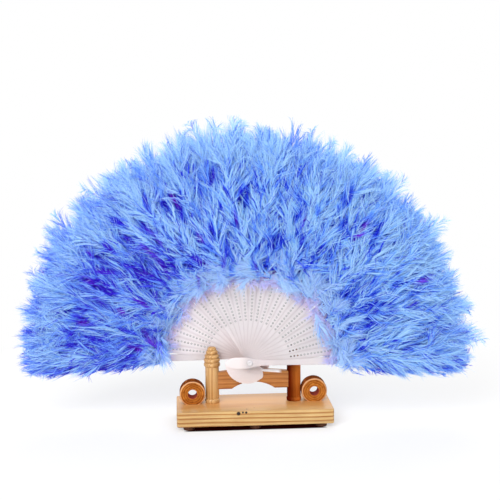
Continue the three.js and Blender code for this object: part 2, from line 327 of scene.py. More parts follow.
def wood(
    name, pale, deep, along, heart, gap, waver=4 * mm, scale=35, streak=0.35, gloss=0.5, shine=0.25,
    knots=(), top_level=None, painted_highlight=None,
):
    """Varnished wood whose growth rings run round a heart line along axis 0, 1 or 2.

    A knot is a centre and a radius. A painted highlight is given as its first and last x, height, fall and
    depth.
    """
    made, tree, output = new_material(name)
    place = object_place(tree)
    x, y, z = axes(tree, place)
    phase = ring_phase(tree, place, heart, along, gap, waver, scale)
    rings = product(tree, carried(tree, phase, 0.35, 0.85), carried(tree, phase, 0.9, 1.0, 1, 0))
    fibre = noise(tree, place, 1300, lengthwise(along, 0.02), detail=4, rough=0.6)
    colour = graded(tree, rings, (0, pale), (1, deep))
    streaks = graded(tree, fibre, (0.3, (0.62, 0.5, 0.42)), (0.55, (1, 1, 1)))
    colour = mixed_colour(tree, "MULTIPLY", streak, colour, streaks)
    cloud = noise(tree, place, 45, detail=2)
    clouds = graded(tree, cloud, (0.3, (0.42, 0.4, 0.38)), (0.7, (0.58, 0.58, 0.57)))
    colour = mixed_colour(tree, "SOFT_LIGHT", 0.9, colour, clouds)
    for centre, radius in knots:
        dark = carried(tree, distance(tree, place, centre), radius * 0.65, radius * 1.15, 1, 0)
        colour = mixed_colour(tree, "MIX", dark, colour, knot_colour)
    # a painted highlight along a pale band
    if painted_highlight:
        first, last, height, fall, depth = painted_highlight
        start = carried(tree, x, first, first + mm)
        end = carried(tree, x, last - 5 * mm, last, 1, 0)
        level = calculate(tree, "ADD", z, product(tree, x, fall))
        above = carried(tree, level, height - 0.3 * mm, height + 0.3 * mm)
        front = carried(tree, y, depth - mm, depth, 1, 0)
        highlight = product(tree, start, end, above, front, highlight_share)
        colour = mixed_colour(tree, "MIX", highlight, colour, highlight_colour)
    # a plainer top, tinted warmer by a painted reflection in the varnish
    if top_level is not None:
        high = carried(tree, z, top_level - 0.5 * mm, top_level - 0.1 * mm)
        back = carried(tree, y, top_reflection_from, top_reflection_full, 0.35, 1)
        plain = mixed_colour(tree, "MIX", product(tree, high, top_plainness), colour, pale)
        reflected = mixed_colour(tree, "MULTIPLY", 1, plain, top_reflection_tint)
        colour = mixed_colour(tree, "MIX", product(tree, high, back), colour, reflected)
    varnish(tree, output, colour, fibre, calculate(tree, "ADD", fibre, rings), gloss, 0.08 * mm, shine)
    return made


def ease_edges(bm, edges, width, segments):
    """Rounds off some edges of a bmesh."""
    bmesh.ops.bevel(
        bm, geom=edges, offset=width, segments=segments, profile=0.5, affect="EDGES", material=-1
    )


def eased_board():
    bm = bmesh.new()
    bmesh.ops.create_cube(bm, size=1)
    bmesh.ops.scale(bm, vec=(board_length, board_depth, board_thickness), verts=bm.verts)
    middle = foot_height + board_thickness / 2
    bmesh.ops.translate(bm, vec=(stand_middle, 0, middle), verts=bm.verts)
    upright = [e for e in bm.edges if abs(e.verts[0].co.z - e.verts[1].co.z) > board_thickness / 2]
    ease_edges(bm, upright, board_corner, 6)
    rims = [e for e in bm.edges if abs(e.verts[0].co.z - e.verts[1].co.z) < board_thickness / 2]
    ease_edges(bm, rims, board_edge, 4)
    return bm


def feet():
    bm = bmesh.new()
    reach_x, reach_y = board_length / 2 - foot_end_inset, board_depth / 2 - foot_side_inset
    for x in (-reach_x, 0, reach_x):
        for y in (-reach_y, reach_y):
            made = bmesh.ops.create_cone(
                bm, cap_ends=True, segments=28, radius1=foot_radius * 0.92, radius2=foot_radius,
                depth=foot_height,
            )
            bmesh.ops.translate(bm, vec=(stand_middle + x, y, foot_height / 2), verts=made["verts"])
    ease_edges(bm, [e for e in bm.edges if e.calc_face_angle(0) > pi / 4], foot_edge, 2)
    return bm


def felt():
    made, tree, output = new_material("shaded_brown_felt")
    fuzz = noise(tree, object_place(tree), 2500, detail=4)
    # the felt's brown is painted extra dark, as shade under the board
    tone = graded(tree, fuzz, (0, (0.04, 0.012, 0.005)), (1, (0.16, 0.055, 0.024)))
    bump = add_node(tree, "ShaderNodeBump", Strength=0.5, Distance=0.1 * mm, Height=fuzz)
    show(tree, output, add_node(
        tree, "ShaderNodeBsdfPrincipled", Base_Color=tone, Roughness=0.9, Normal=bump.outputs["Normal"]
    ))
    return made


front_face = -board_depth / 2
pin_knots = (
    ((-13.5 * mm, front_face, board_top - 2.1 * mm), 2.3 * mm),
    ((-8.9 * mm, front_face, board_top - mm), 1.2 * mm),
    ((-5.3 * mm, front_face, board_top - 1.2 * mm), 1.4 * mm),
    ((-4.2 * mm, front_face + 9 * mm, board_top), 1.2 * mm),
    ((4 * mm, front_face + 13 * mm, board_top), 0.9 * mm),
)
pine = wood(
    "varnished_pine", pale=(0.6, 0.39, 0.16), deep=(0.36, 0.155, 0.036), along=0,
    heart=(0, -12 * mm, -190 * mm), gap=4.3 * mm, waver=9 * mm, scale=14, streak=0.8, gloss=0.3,
    knots=pin_knots, top_level=board_top,
)
dress(mesh_piece(eased_board(), "board"), pine, "stand", "pine", "base_board")
dress(mesh_piece(feet(), "foot_buttons"), felt(), "stand", "pine")

# Posts
# Two posts turned on a lathe from different blanks, one straw-coloured and one dark, each with
# a collar at its foot and a beehive finial. They are glued into the board with round spigots.
stand_plane = 5 * mm
post_at = 44.7 * mm
post_height, shaft_radius = 61.5 * mm, 7.5 * mm
collar_radius, collar_height, collar_groove = 8.1 * mm, 4.5 * mm, 0.7 * mm
finial_height, finial_radius, finial_cap = 22.5 * mm, 8.8 * mm, 0.15 * mm
bead_power, band_power = 0.6, 0.55  # how fully the collar and the bands are rounded
# each band's start and end up the finial, and its radius at the start, middle and end
finial_bands = (
    (0.04, 0.27, 0.84, 1.02, 0.84),
    (0.27, 0.48, 0.84, 1.0, 0.78),
    (0.48, 0.68, 0.76, 0.9, 0.66),
    (0.68, 0.86, 0.62, 0.74, 0.5),
    (0.86, 1.0, 0.5, 0.54, 0.38),
)


def turned(profile, centre, steps):
    """Spins a profile of (radius, height) about an upright axis through centre."""
    bm = bmesh.new()
    line = [bm.verts.new((centre[0] + r, centre[1], centre[2] + z)) for r, z in profile]
    edges = [bm.edges.new(pair) for pair in zip(line, line[1:])]
    bmesh.ops.spin(
        bm, geom=line + edges, cent=centre, axis=(0, 0, 1), angle=2 * pi, steps=steps,
        use_merge=True, dvec=(0, 0, 0),
    )
    bmesh.ops.remove_doubles(bm, verts=bm.verts, dist=1e-6)
    bmesh.ops.recalc_face_normals(bm, faces=bm.faces)
    return bm


def shares(steps):
    """Evenly spaced numbers from 0 to 1."""
    return [k / steps for k in range(steps + 1)]


def post_profile():
    start = post_height - finial_height
    low = collar_radius - collar_groove
    profile = [(0, 0), (low, 0)]
    for share in shares(8):
        profile.append((low + collar_groove * sin(pi * share) ** bead_power, collar_height * share))
    profile += [(shaft_radius - collar_groove, collar_height + 0.2 * mm)]
    profile += [(shaft_radius, collar_height + 1.2 * mm), (shaft_radius, start)]
    for low, high, first, full, last in finial_bands:
        for share in shares(8):
            side = first + (last - first) * share
            bulge = (full - (first + last) / 2) * sin(pi * share) ** band_power
            up = start + finial_height * (low + (high - low) * share)
            profile.append((finial_radius * (side + bulge), up))
    edge_radius = finial_radius * finial_bands[-1][-1]
    profile += [(edge_radius * 0.86, post_height + finial_cap), (0, post_height + finial_cap)]
    return profile


def post(name, side):
    centre = (stand_middle + side * post_at, stand_plane, board_top)
    return mesh_piece(turned(post_profile(), centre, 48), name, smooth_below=50)


straw_wood = wood(
    "straw_wood", pale=(0.6, 0.355, 0.145), deep=(0.42, 0.21, 0.065), along=2,
    heart=(stand_middle - post_at - 9 * mm, stand_plane + 12 * mm, 0), gap=2.1 * mm, waver=3 * mm, gloss=0.35,
)
dark_wood = wood(
    "dark_wood", pale=(0.8, 0.25, 0.04), deep=(0.1, 0.007, 0.0003), along=2,
    heart=(stand_middle + post_at + 25 * mm, stand_plane - 9 * mm, 0), gap=40 * mm, waver=3 * mm,
    streak=0.95, gloss=0.03, shine=0,
)
dress(post("post_left", -1), straw_wood, "stand", "straw_wood", "left_post")
dress(post("post_right", 1), dark_wood, "stand", "dark_wood", "right_post")

# Rail
# A flat bracket of brown wood, sawn with an arch below and a crest above. Its ends are let
# into the posts, and the rivet of the fan lies in the notch of its crest.
rail_thickness = 8 * mm
rail_low, rail_end_top, rail_shoulder_top = 15 * mm, 34 * mm, 36 * mm
rail_shoulder_at, rail_crest_half = 17 * mm, 5 * mm
arch_half, arch_rise = 23.5 * mm, 7.5 * mm
pivot_up, pin_radius, running = 48 * mm, 1.8 * mm, 0.3 * mm
crest_drop, rail_edge, rail_let_in = 1 * mm, 1.3 * mm, 3 * mm


def ogee(start, end):
    """Points of an S-shaped bend that leaves and meets level, without its first point."""
    run, rise = end[0] - start[0], end[1] - start[1]
    return [
        (start[0] + run * share, start[1] + rise * (1 - cos(pi * share)) / 2) for share in shares(10)[1:]
    ]


def rail_outline():
    """The rail's face as (x, height above the board), with its notch under the rivet."""
    inner = post_at - shaft_radius
    left, right = stand_middle - inner, stand_middle + inner
    crest = pivot_up - crest_drop
    notch = pin_radius + running
    half_angle = atan2(crest_drop, sqrt(notch**2 - crest_drop**2))
    outline = [(right + rail_let_in, rail_low), (right + rail_let_in, rail_end_top), (right, rail_end_top)]
    outline.append((rail_shoulder_at, rail_shoulder_top))
    outline += ogee(outline[-1], (rail_crest_half, crest))
    for share in shares(8):
        angle = -half_angle - (pi - 2 * half_angle) * share
        outline.append((notch * cos(angle), pivot_up + notch * sin(angle)))
    outline += ogee((-rail_crest_half, crest), (-rail_shoulder_at, rail_shoulder_top))
    outline += [(left, rail_end_top), (left - rail_let_in, rail_end_top), (left - rail_let_in, rail_low)]
    radius = (arch_half**2 + arch_rise**2) / (2 * arch_rise)
    for share in shares(16):
        across = arch_half * (2 * share - 1)
        rise = arch_rise - radius + sqrt(radius**2 - across**2)
        outline.append((stand_middle + across, rail_low + rise))
    return outline


def rail():
    bm = bmesh.new()
    front = stand_plane - rail_thickness / 2
    face = bm.faces.new([bm.verts.new((x, front, board_top + z)) for x, z in rail_outline()])
    pulled = bmesh.ops.extrude_face_region(bm, geom=[face])
    back = [v for v in pulled["geom"] if isinstance(v, bmesh.types.BMVert)]
    bmesh.ops.translate(bm, vec=(0, rail_thickness, 0), verts=back)
    bmesh.ops.recalc_face_normals(bm, faces=bm.faces)
    rims = [e for e in bm.edges if abs(e.verts[0].co.y - e.verts[1].co.y) < rail_thickness / 2]
    ease_edges(bm, rims, rail_edge, 4)
    return bm


# the rail's top front edge carries a painted highlight from the crest to the right post
brown_wood = wood(
    "brown_wood", pale=(0.48, 0.195, 0.047), deep=(0.34, 0.12, 0.024), along=0,
    heart=(0, -30 * mm, board_top - 12 * mm), gap=3.6 * mm, waver=16 * mm, scale=22, streak=0.8,
    gloss=0.2, painted_highlight=(12.5 * mm, 37 * mm, board_top + 35.6 * mm, 0.1, stand_plane),
)
dress(mesh_piece(rail(), "rail"), brown_wood, "stand", "brown_wood", "cross_rail")

# Wheels
# A thick slice of a brown turned rod on each side, with a bored hole, a rounded rim and a flat
# sawn on the underside where it is glued to the board. The faces show end grain.
wheel_at, wheel_up = 66.5 * mm, 11.5 * mm
wheel_radius, wheel_half, wheel_hole = 14 * mm, 8 * mm, 5 * mm
wheel_rim, bore_edge = 1.8 * mm, 0.4 * mm
# a painted highlight on the rounded edge, painted shade on the tread and in the bore
rim_highlight_colour, tread_shade_colour, bore_shade_colour = (0.9, 0.55, 0.3), (0.6, 0.4, 0.3), (0.32, 0.05, 0.03)


def end_grain(name, centre):
    """Sawn end grain with rings about the wheel's middle, with a painted highlight on the rounded edge and
    painted shade on the tread and in the bore.
    """
    made, tree, output = new_material(name)
    place = object_place(tree)
    phase = ring_phase(tree, place, centre, along=1, gap=2.3 * mm, waver=3.5 * mm, scale=90)
    rings = product(tree, carried(tree, phase, 0.3, 0.9), 0.75)
    colour = graded(tree, rings, (0, (0.5, 0.175, 0.03)), (1, (0.2, 0.045, 0.004)))
    pores = noise(tree, place, 1100, rough=0.7)
    specks = graded(tree, pores, (0.36, (0.5, 0.4, 0.3)), (0.56, (1, 1, 1)))
    colour = mixed_colour(tree, "MULTIPLY", 0.7, colour, specks)
    clouds = graded(tree, noise(tree, place, 210), (0.36, (0.3, 0.3, 0.3)), (0.64, (0.66, 0.66, 0.66)))
    colour = mixed_colour(tree, "SOFT_LIGHT", 0.9, colour, clouds)
    from_middle = moved(tree, place, [-c for c in centre])
    out = distance(tree, moved(tree, from_middle, scale=(1, 0, 1)))
    ways = calculate(tree, "ABSOLUTE", axes(tree, from_middle)[1])
    # a painted highlight on the rounded edge of each face
    near_face = carried(tree, ways, wheel_half - 1.5 * mm, wheel_half - 0.7 * mm)
    near_rim = carried(tree, out, wheel_radius - 1.7 * mm, wheel_radius - 0.9 * mm)
    colour = mixed_colour(tree, "MIX", product(tree, near_face, near_rim, 0.5), colour, rim_highlight_colour)
    # painted shade on the tread
    on_tread = carried(tree, out, wheel_radius - 0.5 * mm, wheel_radius - 0.2 * mm)
    off_face = carried(tree, ways, wheel_half - 1.8 * mm, wheel_half - 1.2 * mm, 0.8, 0)
    colour = mixed_colour(tree, "MULTIPLY", product(tree, on_tread, off_face), colour, tread_shade_colour)
    # painted shade in the bore
    bore = carried(tree, out, wheel_hole + 0.1 * mm, wheel_hole + 0.5 * mm, 1, 0)
    colour = mixed_colour(tree, "MIX", bore, colour, bore_shade_colour)
    varnish(tree, output, colour, pores, pores, 0.03, 0.06 * mm, 0)
    return made


def wheel_profile():
    half = [(wheel_hole + bore_edge, wheel_half)]
    for share in shares(6):
        angle = pi / 2 * (1 - share)
        out = wheel_radius - wheel_rim + wheel_rim * cos(angle)
        half.append((out, wheel_half - wheel_rim + wheel_rim * sin(angle)))
    rear = [(r, -z) for r, z in reversed(half)]
    bore = [(wheel_hole, bore_edge - wheel_half), (wheel_hole, wheel_half - bore_edge)]
    return half + rear + bore + half[:1]


def lay_level(bm):
    """Turns what was spun about the upright axis to lie from front to back."""
    bmesh.ops.rotate(bm, cent=(0, 0, 0), matrix=Matrix.Rotation(pi / 2, 3, "X"), verts=bm.verts)


def wheel(name, centre):
    bm = turned(wheel_profile(), (0, 0, 0), 64)
    lay_level(bm)
    whole = bm.verts[:] + bm.edges[:] + bm.faces[:]
    cut = bmesh.ops.bisect_plane(
        bm, geom=whole, plane_co=(0, 0, -wheel_up), plane_no=(0, 0, -1), clear_outer=True
    )
    rim = [e for e in cut["geom_cut"] if isinstance(e, bmesh.types.BMEdge)]
    bmesh.ops.contextual_create(bm, geom=rim)
    bmesh.ops.translate(bm, vec=centre, verts=bm.verts)
    bmesh.ops.recalc_face_normals(bm, faces=bm.faces)
    return mesh_piece(bm, name)


for side, name in ((-1, "left"), (1, "right")):
    centre = (stand_middle + side * wheel_at, stand_plane, board_top + wheel_up)
    grain = end_grain(f"{name}_end_grain", centre)
    dress(wheel(f"wheel_{name}", centre), grain, "stand", "brown_wood", f"{name}_wheel")

# Rivet
# A short metal rivet through the heads of all the sticks, with a dimpled round head pressed
# up at each end. It carries the whole fan in the notch of the rail.
pivot = board_top + pivot_up
rivet_low, rivet_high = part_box("pivot_rivet")
rivet_head, rivet_cap = 3.3 * mm, 1.25 * mm
# a head's radius and depth below its top, from its dimple round to the pin
rivet_cap_profile = (
    (0, 0.55 * mm), (0.8 * mm, 0.5 * mm), (1.3 * mm, 0.05 * mm), (1.7 * mm, 0), (2.6 * mm, 0.12 * mm),
    (rivet_head, 0.6 * mm), (rivet_head, rivet_cap), (pin_radius, rivet_cap),
)


def rivet():
    half_length = (rivet_high.y - rivet_low.y) / 2
    cap = [(r, half_length - lower) for r, lower in rivet_cap_profile]
    bm = turned(cap + [(r, -z) for r, z in reversed(cap)], (0, 0, 0), 32)
    lay_level(bm)
    bmesh.ops.translate(bm, vec=(0, (rivet_low.y + rivet_high.y) / 2, pivot), verts=bm.verts)
    return bm


def rivet_metal():
    made, tree, output = new_material("rivet_metal")
    dulled = carried(tree, noise(tree, object_place(tree), 1800), 0, 1, 0.5, 0.75, "LINEAR")
    show(tree, output, add_node(
        tree, "ShaderNodeBsdfPrincipled", Base_Color=(0.58, 0.55, 0.56, 1), Roughness=dulled
    ))
    return made


dress(mesh_piece(rivet(), "rivet"), rivet_metal(), "rivet", "rivet_metal", "pivot_rivet")

# Sticks and guards
# Thin white plastic blades, stamped with a row of round holes, with a rounded tail below the
# rivet. A thicker plain guard lies at each end of the fan.
stick_count = 26
step = pi / (stick_count - 1)
tail, tail_round, head_from, reach = 26 * mm, 12 * mm, 6.5 * mm, 206 * mm
head_half, neck_half, blade_half, guard_half = 6 * mm, 3.2 * mm, 4.9 * mm, 3.75 * mm
neck_from, neck_to, blade_from, tip_round = 15 * mm, 38 * mm, 70 * mm, 5 * mm
hole_radius, hole_step, first_hole, hole_count = 0.55 * mm, 3.7 * mm, 45 * mm, 15
hole_shade, hole_shade_colour = 1 * mm, (0.06, 0.05, 0.05)  # how far from a hole's middle the painted shade reaches
stick_edge, plastic_through = 0.1 * mm, 0.48  # the second is the share of light let through


def eased(share):
    return share * share * (3 - 2 * share)


def half_outline(half_width):
    """Half of a blade's edge as (along, across), from the tail to the far end."""
    points = []
    for share in shares(8):
        angle = pi / 2 * share
        points.append((-tail + tail_round * (1 - cos(angle)), head_half * sin(angle)))
    points.append((-head_from, head_half))
    for share in shares(8)[1:]:
        along = -head_from + (neck_from + head_from) * share
        points.append((along, head_half + (neck_half - head_half) * eased(share)))
    for share in shares(8):
        along = neck_to + (blade_from - neck_to) * share
        points.append((along, neck_half + (half_width - neck_half) * eased(share)))
    for share in shares(6):
        angle = pi / 2 * share
        points.append((reach - tip_round + tip_round * sin(angle), half_width * cos(angle)))
    return points


def circle(centre, radius, count):
    angles = [2 * pi * k / count for k in range(count)]
    return [(centre + radius * cos(angle), radius * sin(angle)) for angle in angles]


def close_line(curve, points):
    """Adds a closed line through flat points to a curve."""
    line = curve.splines.new("POLY")
    line.points.add(len(points) - 1)
    line.use_cyclic_u = True
    for made, (x, y) in zip(line.points, points):
        made.co = (x, y, 0, 1)


def blade_mesh(name, half_width, thickness, holes):
    """A flat blade along X in the XY plane, half its thickness each way of z = 0."""
    curve = bpy.data.curves.new(name, "CURVE")
    curve.dimensions = "2D"
    curve.fill_mode = "BOTH"
    curve.extrude = thickness / 2 - stick_edge
    curve.bevel_depth = stick_edge
    curve.bevel_resolution = 0
    curve.offset = -stick_edge
    upper = half_outline(half_width)
    close_line(curve, upper + [(x, -y) for x, y in reversed(upper[1:-1])])
    close_line(curve, circle(0, pin_radius + running, 16))
    for k in range(holes):
        close_line(curve, circle(first_hole + k * hole_step, hole_radius, 12))
    shown = bpy.data.objects.new(name, curve)
    mesh = bpy.data.meshes.new_from_object(shown)
    bpy.data.objects.remove(shown)
    laid = mesh.uv_layers.new(name="blade")
    for corner, point in zip(mesh.loops, laid.data):
        point.uv = mesh.vertices[corner.vertex_index].co.xy
    return mesh


def white_plastic(name, pierced, paler=0):
    """Milky moulded plastic with painted shade on its edges, round each hole, by the rivet and under the
    down, and painted light in places.
    """
    made, tree, output = new_material(name)
    place = object_place(tree)
    laid = tree.nodes.new("ShaderNodeUVMap")
    laid.uv_map = "blade"
    along, across = axes(tree, laid.outputs["UV"])[:2]
    across = calculate(tree, "ABSOLUTE", across)
    half = carried(tree, along, neck_to, blade_from, neck_half, blade_half, "LINEAR")
    edge_shade = carried(tree, calculate(tree, "DIVIDE", across, half), 0.5, 1.0)
    beyond_head = carried(tree, along, 8 * mm, neck_from + 8 * mm)
    cloud = noise(tree, place, 50, detail=2)
    colour = graded(tree, cloud, (0.3, (0.78, 0.775, 0.78)), (0.7, (0.84, 0.84, 0.845)))
    tints = (
        # painted light that lifts the shade on the sticks behind the rail
        (paler, (0.96, 0.96, 0.965)),
        (product(tree, edge_shade, beyond_head, 0.28), (0.58, 0.53, 0.55)),  # painted shade along the edges, where the sticks overlap
        (carried(tree, along, 10 * mm, 42 * mm, 0.5, 0), (0.9, 0.85, 0.84)),  # painted pinkish shade by the rivet
        (carried(tree, along, 76 * mm, 92 * mm, 0, 0.65), (0.68, 0.55, 0.93)),  # painted blue light thrown back from the down next to it
        (carried(tree, along, 94 * mm, 100 * mm), (0.12, 0.02, 0.5)),  # painted violet shade under the down
        (carried(tree, along, -12 * mm, 0, 1, 0), (0.98, 0.97, 0.96)),  # painted light on the tail, which lies in the guard's shade
    )
    for share, tint in tints:
        colour = mixed_colour(tree, "MIX", share, colour, tint)
    if pierced:
        # painted shade round each hole
        steps = calculate(tree, "DIVIDE", calculate(tree, "SUBTRACT", along, first_hole), hole_step)
        near = calculate(tree, "FRACT", calculate(tree, "ADD", steps, 0.5))
        near = product(tree, calculate(tree, "SUBTRACT", near, 0.5), hole_step)
        squares = calculate(tree, "ADD", product(tree, near, near), product(tree, across, across))
        rim = carried(tree, calculate(tree, "SQRT", squares), hole_shade * 0.8, hole_shade, 1, 0)
        after_first = calculate(tree, "GREATER_THAN", along, first_hole - hole_step / 2)
        colour = mixed_colour(tree, "MIX", product(tree, rim, after_first, 0.96), colour, hole_shade_colour)
    roughness = carried(tree, noise(tree, place, 900), 0.3, 0.7, 0.3, 0.42)
    surface = add_node(
        tree, "ShaderNodeBsdfPrincipled", Base_Color=colour, Roughness=roughness, Specular_IOR_Level=0.2
    )
    tinted = mixed_colour(tree, "MULTIPLY", 1, colour, (1.0, 0.88, 0.89))
    through = add_node(tree, "ShaderNodeBsdfTranslucent", Color=tinted)
    show_mixed(tree, output, plastic_through, surface, through)
    return made


def stick_node(index):
    return {0: "front_guard", stick_count - 1: "rear_guard"}.get(index, f"stick_{index:02d}")


def stick_place(index):
    """X out along the stick, Y across it and Z to the front, on the rivet's axis."""
    low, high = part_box(stick_node(index))
    return (
        Matrix.Translation((0, (low.y + high.y) / 2, pivot))
        @ Matrix.Rotation(-index * step, 4, "Y")
        @ Matrix.Rotation(pi / 2, 4, "X")
    )


front_count = 18  # the sticks in front of the rail; the others stand behind it, in their shade, lifted by painted light
pierced_plastic = white_plastic("pierced_plastic", True)
plain_plastic = white_plastic("plain_plastic", False)
# a paler copy: painted light on the sticks behind the rail
rear_painted_light_plastic = white_plastic("rear_painted_light_plastic", True, paler=0.45)
for index in range(stick_count):
    name = f"blade_{index:02d}"
    low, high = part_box(stick_node(index))
    is_guard = index in (0, stick_count - 1)
    width, holes = (guard_half, 0) if is_guard else (blade_half, hole_count)
    blade = blade_mesh(name, width, high.y - low.y, holes)
    blade.transform(stick_place(index))
    blade.name = name
    plastic = plain_plastic if is_guard else pierced_plastic if index < front_count else rear_painted_light_plastic
    dress(put_in_scene(blade, name), plastic, f"leaf_{index:02d}", "white_plastic", stick_node(index))

# Plumes
# Soft dyed down in tufts, glued in shingled rows to both faces of each stick: thin quills with
# long loose barbs that lie apart as strands, dyed blue, with painted shade that makes them violet
# blue in the depth and painted light that makes them pale where they stand out.
down_reach, shorter_by_guard, uneven_reach = 252 * mm, 14 * mm, 6  # the last is in millimetres
longer_behind, longest, longest_spread = 9 * mm, 16, 6  # the plumes about this one reach further
tip_drop, tip_room = 13 * mm, 9 * mm  # a plume is shorter at its sides, and its quills shorter still
deeper_dye, deeper_from = 0.76, 0.52  # how much the tone falls towards the rear guard, and from where
front_plumes, front_dye = 5, 0.09  # the plumes next to the front guard are deeper too
rear_violet, front_violet = 0.09, 0.04  # and the dye is redder at both ends
barb_steps = np.array([0.0, 0.28, 0.56, 0.8, 1.0])
barb_shape = np.array([0.8, 1.0, 0.9, 0.65])  # a barb's width at each step but its tip
barb_tones = np.array([-0.14, -0.04, 0.05, 0.11, 0.14])  # how the tone climbs to the tip, partly the dye and partly painted shade at the root
proud_height, proud_tone = 12 * mm, 0.75  # painted light and shade by height: where a barb is at its palest, and by how much
pale_from, pale_to = 192 * mm, 236 * mm  # where the down thins out and pales towards the rim
hanging = 16 * mm  # how far below the open fan's straight edge it does so
left_hang, right_hang = 12 * mm, 15 * mm  # how far below it the down hangs freely
down_limit, down_depth = 265 * mm, 45 * mm  # no barb reaches further out, or to the front or back
held_back = 0.5  # how much the barbs that reach past the outline are held back
gap_count, crossing_share = 175, 0.12  # painted shade gaps in the pile, and the share of barbs left unshaded across them
gap_from, gap_span = 101, 108  # the radius where the gaps start and how far out they go, in millimetres
# the down that borders the bare sticks is paler from the first radius in to the second
pale_ring, full_ring, pale_ring_tone = 126 * mm, 100 * mm, 0.66
rim_tone = 0.35  # how much paler the down is at the rim
barb_turn, barb_drift, wisp_tone, strand_tone = 0.4, 0.17, 0.17, 0.38  # how much the barbs differ
gathering = 0.22  # how much the barbs of a wisp draw together towards their tips
barb_angle, barb_close = 46, 28  # degrees from the quill at its root, and how much less at its tip
down_through = 0.35
gap_seed, plume_seed = 77, 4100
DownLayer = namedtuple(
    "DownLayer",
    "front behind feathers first last rise long barb wisps per_wisp tone tones width scatter ahead",
)
# each layer's tone also paints shade into the pile: the lower the layer, the darker and more violet
down_layers = {
    "ground": DownLayer(
        front=9, behind=8, feathers=1, first=90, last=190, rise=(0, 1.5), long=40, barb=16,
        wisps=12, per_wisp=5, tone=0.25, tones=(0, 0.2), width=1.8, scatter=0.2, ahead=1,
    ),
    "under": DownLayer(
        front=6, behind=5, feathers=2, first=91, last=194, rise=(1, 4), long=46, barb=21,
        wisps=16, per_wisp=5, tone=0.42, tones=(0, 0.55), width=0.95, scatter=0.22, ahead=1,
    ),
    "tufts": DownLayer(
        front=5, behind=3, feathers=3, first=93, last=198, rise=(4, 9), long=54, barb=22,
        wisps=20, per_wisp=7, tone=0.64, tones=(0.0, 0.9), width=0.76, scatter=0.2, ahead=1,
    ),
    "rim": DownLayer(
        front=6, behind=5, feathers=1, first=186, last=204, rise=(1, 6), long=42, barb=18,
        wisps=20, per_wisp=8, tone=0.7, tones=(0.3, 0.9), width=0.6, scatter=0.22, ahead=1,
    ),
    "collar": DownLayer(
        front=5, behind=3, feathers=1, first=91, last=104, rise=(6, 9), long=18, barb=14,
        wisps=13, per_wisp=8, tone=0.65, tones=(0.2, 0.92), width=0.4, scatter=0.45, ahead=-0.1,
    ),
    "haze": DownLayer(
        front=6, behind=3, feathers=1, first=88, last=93, rise=(2, 7), long=7, barb=8,
        wisps=9, per_wisp=6, tone=1.0, tones=(0.9, 1), width=0.2, scatter=0.9, ahead=-0.6,
    ),
}


def unit(vectors):
    return vectors / np.linalg.norm(vectors, axis=-1, keepdims=True)


def lay_feathers(rng, tufts, layer, side, edge):
    """Roots, aims and tones of feathers on one face of a stick, in the stick's own frame."""
    count = tufts * layer.feathers
    first, last = layer.first * mm, layer.last * mm
    along = first + (last - first) * (np.arange(tufts) + rng.uniform(0, 1, tufts)) / tufts
    half = along * np.tan(step / 2)
    across = rng.uniform(-0.8, 0.8, tufts) * half
    lean = across / half * 0.12 + rng.normal(0, layer.scatter, tufts)
    up = rng.uniform(*layer.rise, tufts) * mm
    tone = layer.tone + rng.normal(0, 0.14, tufts)
    along, across, lean, up, tone = (
        np.repeat(values, layer.feathers) for values in (along, across, lean, up, tone)
    )
    along, across = along + rng.normal(0, 2 * mm, count), across + rng.normal(0, 1.5 * mm, count)
    lean, tone = lean + rng.normal(0, 0.16, count), tone + rng.normal(0, 0.08, count)
    up = side * (up + rng.uniform(0, 1.5 * mm, count))
    if edge:
        lean = np.where(lean * edge > 0.02, 0.02 * edge - 0.4 * lean, lean)
    lift = side * rng.uniform(0.0, 0.22, count)
    aims = unit(np.stack([rng.uniform(layer.ahead, 1, count), lean, lift], 1))
    return np.stack([along, across, up], 1), aims, tone


def lay_shaded_gaps(rng):
    """Where shade is painted on the pile as gaps: radius, angle, half sizes, slant, depth and redness of each
    gap.
    """
    radius = (gap_from + gap_span * rng.uniform(0, 1, gap_count) ** 1.2) * mm
    angle = pi * rng.uniform(0.01, 0.99, gap_count) ** 0.85
    length = rng.uniform(5, 14, gap_count) * mm
    width = rng.uniform(1.4, 3.6, gap_count) * mm
    slant = rng.normal(0, 0.3, gap_count)
    depth = rng.uniform(0.65, 1.3, gap_count)
    redness = np.clip(rng.normal(-0.4, 0.45, gap_count) + 0.35 * (angle / pi - 0.5), 0, 0.6)
    return radius, angle, length, width, slant, depth, redness


def gap_shade(points, index, gaps):
    """How far each point of a stick's barbs is darkened and reddened by the painted shade of the gaps in the
    fan's pile.
    """
    radius, angle, length, width, slant, depth, redness = gaps
    out = np.hypot(points[..., 0], points[..., 1])[..., None] - radius
    turn = np.arctan2(points[..., 1], points[..., 0]) + index * step
    aside = (turn[..., None] - angle) * radius - slant * out
    apart = (out / length) ** 2 + (aside / width) ** 2
    inside = np.exp(-(apart**2))
    return (depth * inside).max(-1), (redness * inside).max(-1)


def quill_points(roots, aims, lengths, bends, share):
    """Points on each feather's quill at that share of its length."""
    bow = (share**2)[..., None] * bends[:, None, :]
    return roots[:, None, :] + lengths[:, None, None] * (share[..., None] * aims[:, None, :] + bow)


